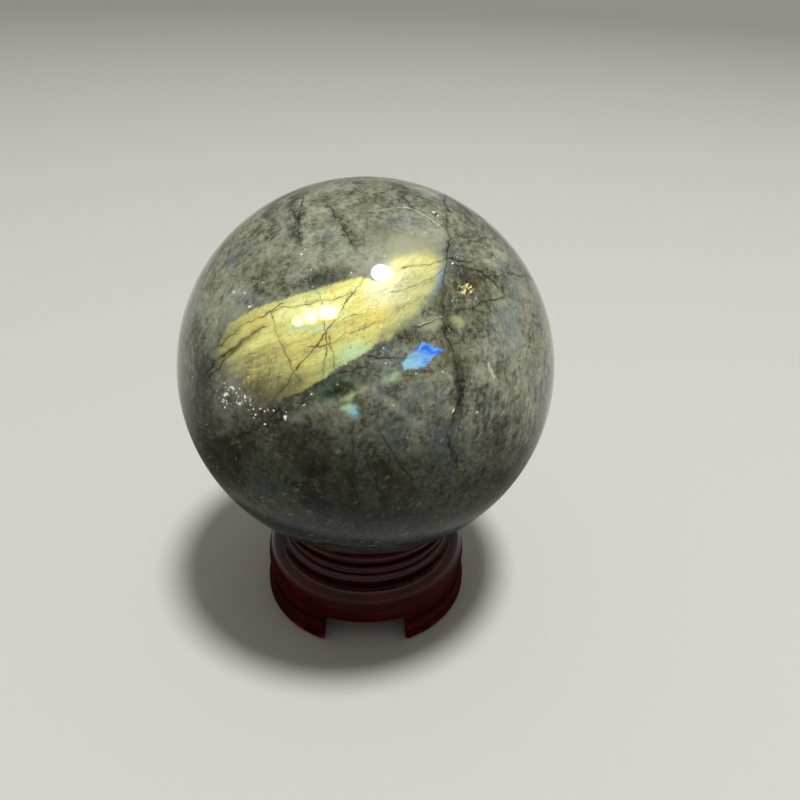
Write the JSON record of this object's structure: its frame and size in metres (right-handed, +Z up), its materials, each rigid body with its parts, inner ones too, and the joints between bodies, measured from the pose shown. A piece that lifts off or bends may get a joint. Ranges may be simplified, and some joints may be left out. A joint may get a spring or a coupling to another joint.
{
  "type": "decorative sphere",
  "caption": "Polished labradorite ball resting in the dished seat of a turned, dark red wooden stand with a ringed waist, round belly and open foot ring.",
  "frame": {"origin": "on the axis of the stand, on the surface that its feet stand on", "axes": "+Z up through the middle of the ball, -Y out through the middle of the front opening between two feet"},
  "size_m": [0.07, 0.07, 0.0879],
  "materials": {
    "polished_labradorite": "grey-green labradorite with gold and blue flashes and fine cracks, polished to a mirror gloss",
    "lacquered_wood": "dark mahogany-red wood under glossy lacquer"
  },
  "bodies": {
    "root": {"labradorite_ball": "polished_labradorite", "wooden_stand": "lacquered_wood"}
  },
  "joints": []
}
